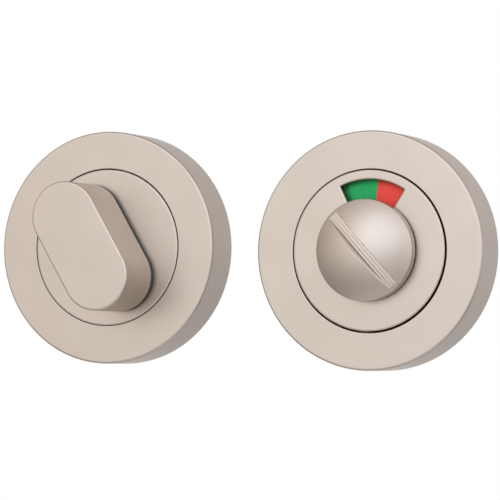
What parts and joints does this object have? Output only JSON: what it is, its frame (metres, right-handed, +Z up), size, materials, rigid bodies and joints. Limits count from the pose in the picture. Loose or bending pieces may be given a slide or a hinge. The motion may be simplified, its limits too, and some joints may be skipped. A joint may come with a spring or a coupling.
{
  "type": "bathroom thumb turn lock",
  "caption": "Bathroom privacy lock set: round rose with an obround thumb turn, and a matching rose with a coin slotted emergency release and a red and green indicator window.",
  "frame": {"origin": "the thumb turn's axis at the back face of its rose, where the door's face is", "axes": "+Z up on the door, +Y into the door, +X from the thumb turn half to the release half; both halves face -Y"},
  "size_m": [0.1148, 0.0665, 0.052],
  "materials": {
    "satin_nickel_brass": "satin nickel plate on brass",
    "zinc_plated_steel": "bright zinc plate",
    "spring_steel": "phosphated and oiled",
    "nylon": "moulded black nylon",
    "indicator_moulding": "moulded off white",
    "indicator_green": "green film",
    "indicator_red": "red film"
  },
  "bodies": {
    "roses": {"turn_rose_cover": "satin_nickel_brass", "turn_cover_spring": "spring_steel", "turn_base": "satin_nickel_brass", "turn_bush": "nylon", "release_rose_cover": "satin_nickel_brass", "release_cover_spring": "spring_steel", "release_base": "satin_nickel_brass", "release_bolt_posts": "zinc_plated_steel", "release_bush": "nylon"},
    "turn": {"thumb_turn": "satin_nickel_brass", "turn_spring_washer": "spring_steel", "turn_stop_washer": "zinc_plated_steel", "turn_circlip": "spring_steel", "turn_spindle": "zinc_plated_steel"},
    "release": {"release_button": "satin_nickel_brass", "release_spring_washer": "spring_steel", "indicator_disc": "indicator_moulding", "indicator_green_field": "indicator_green", "indicator_red_field": "indicator_red", "release_stop_washer": "zinc_plated_steel", "release_circlip": "spring_steel"}
  },
  "joints": [
    {"name": "turn_rotation", "type": "hinge", "parent": "roses", "child": "turn", "pos_m": [0, 0, 0], "axis": [0, -1, 0], "range_deg": [-31.8, 58.2]},
    {"name": "release_rotation", "type": "hinge", "parent": "roses", "child": "release", "pos_m": [0.0628, 0, 0], "axis": [0, -1, 0], "range_deg": [-43.4, 46.6]}
  ]
}
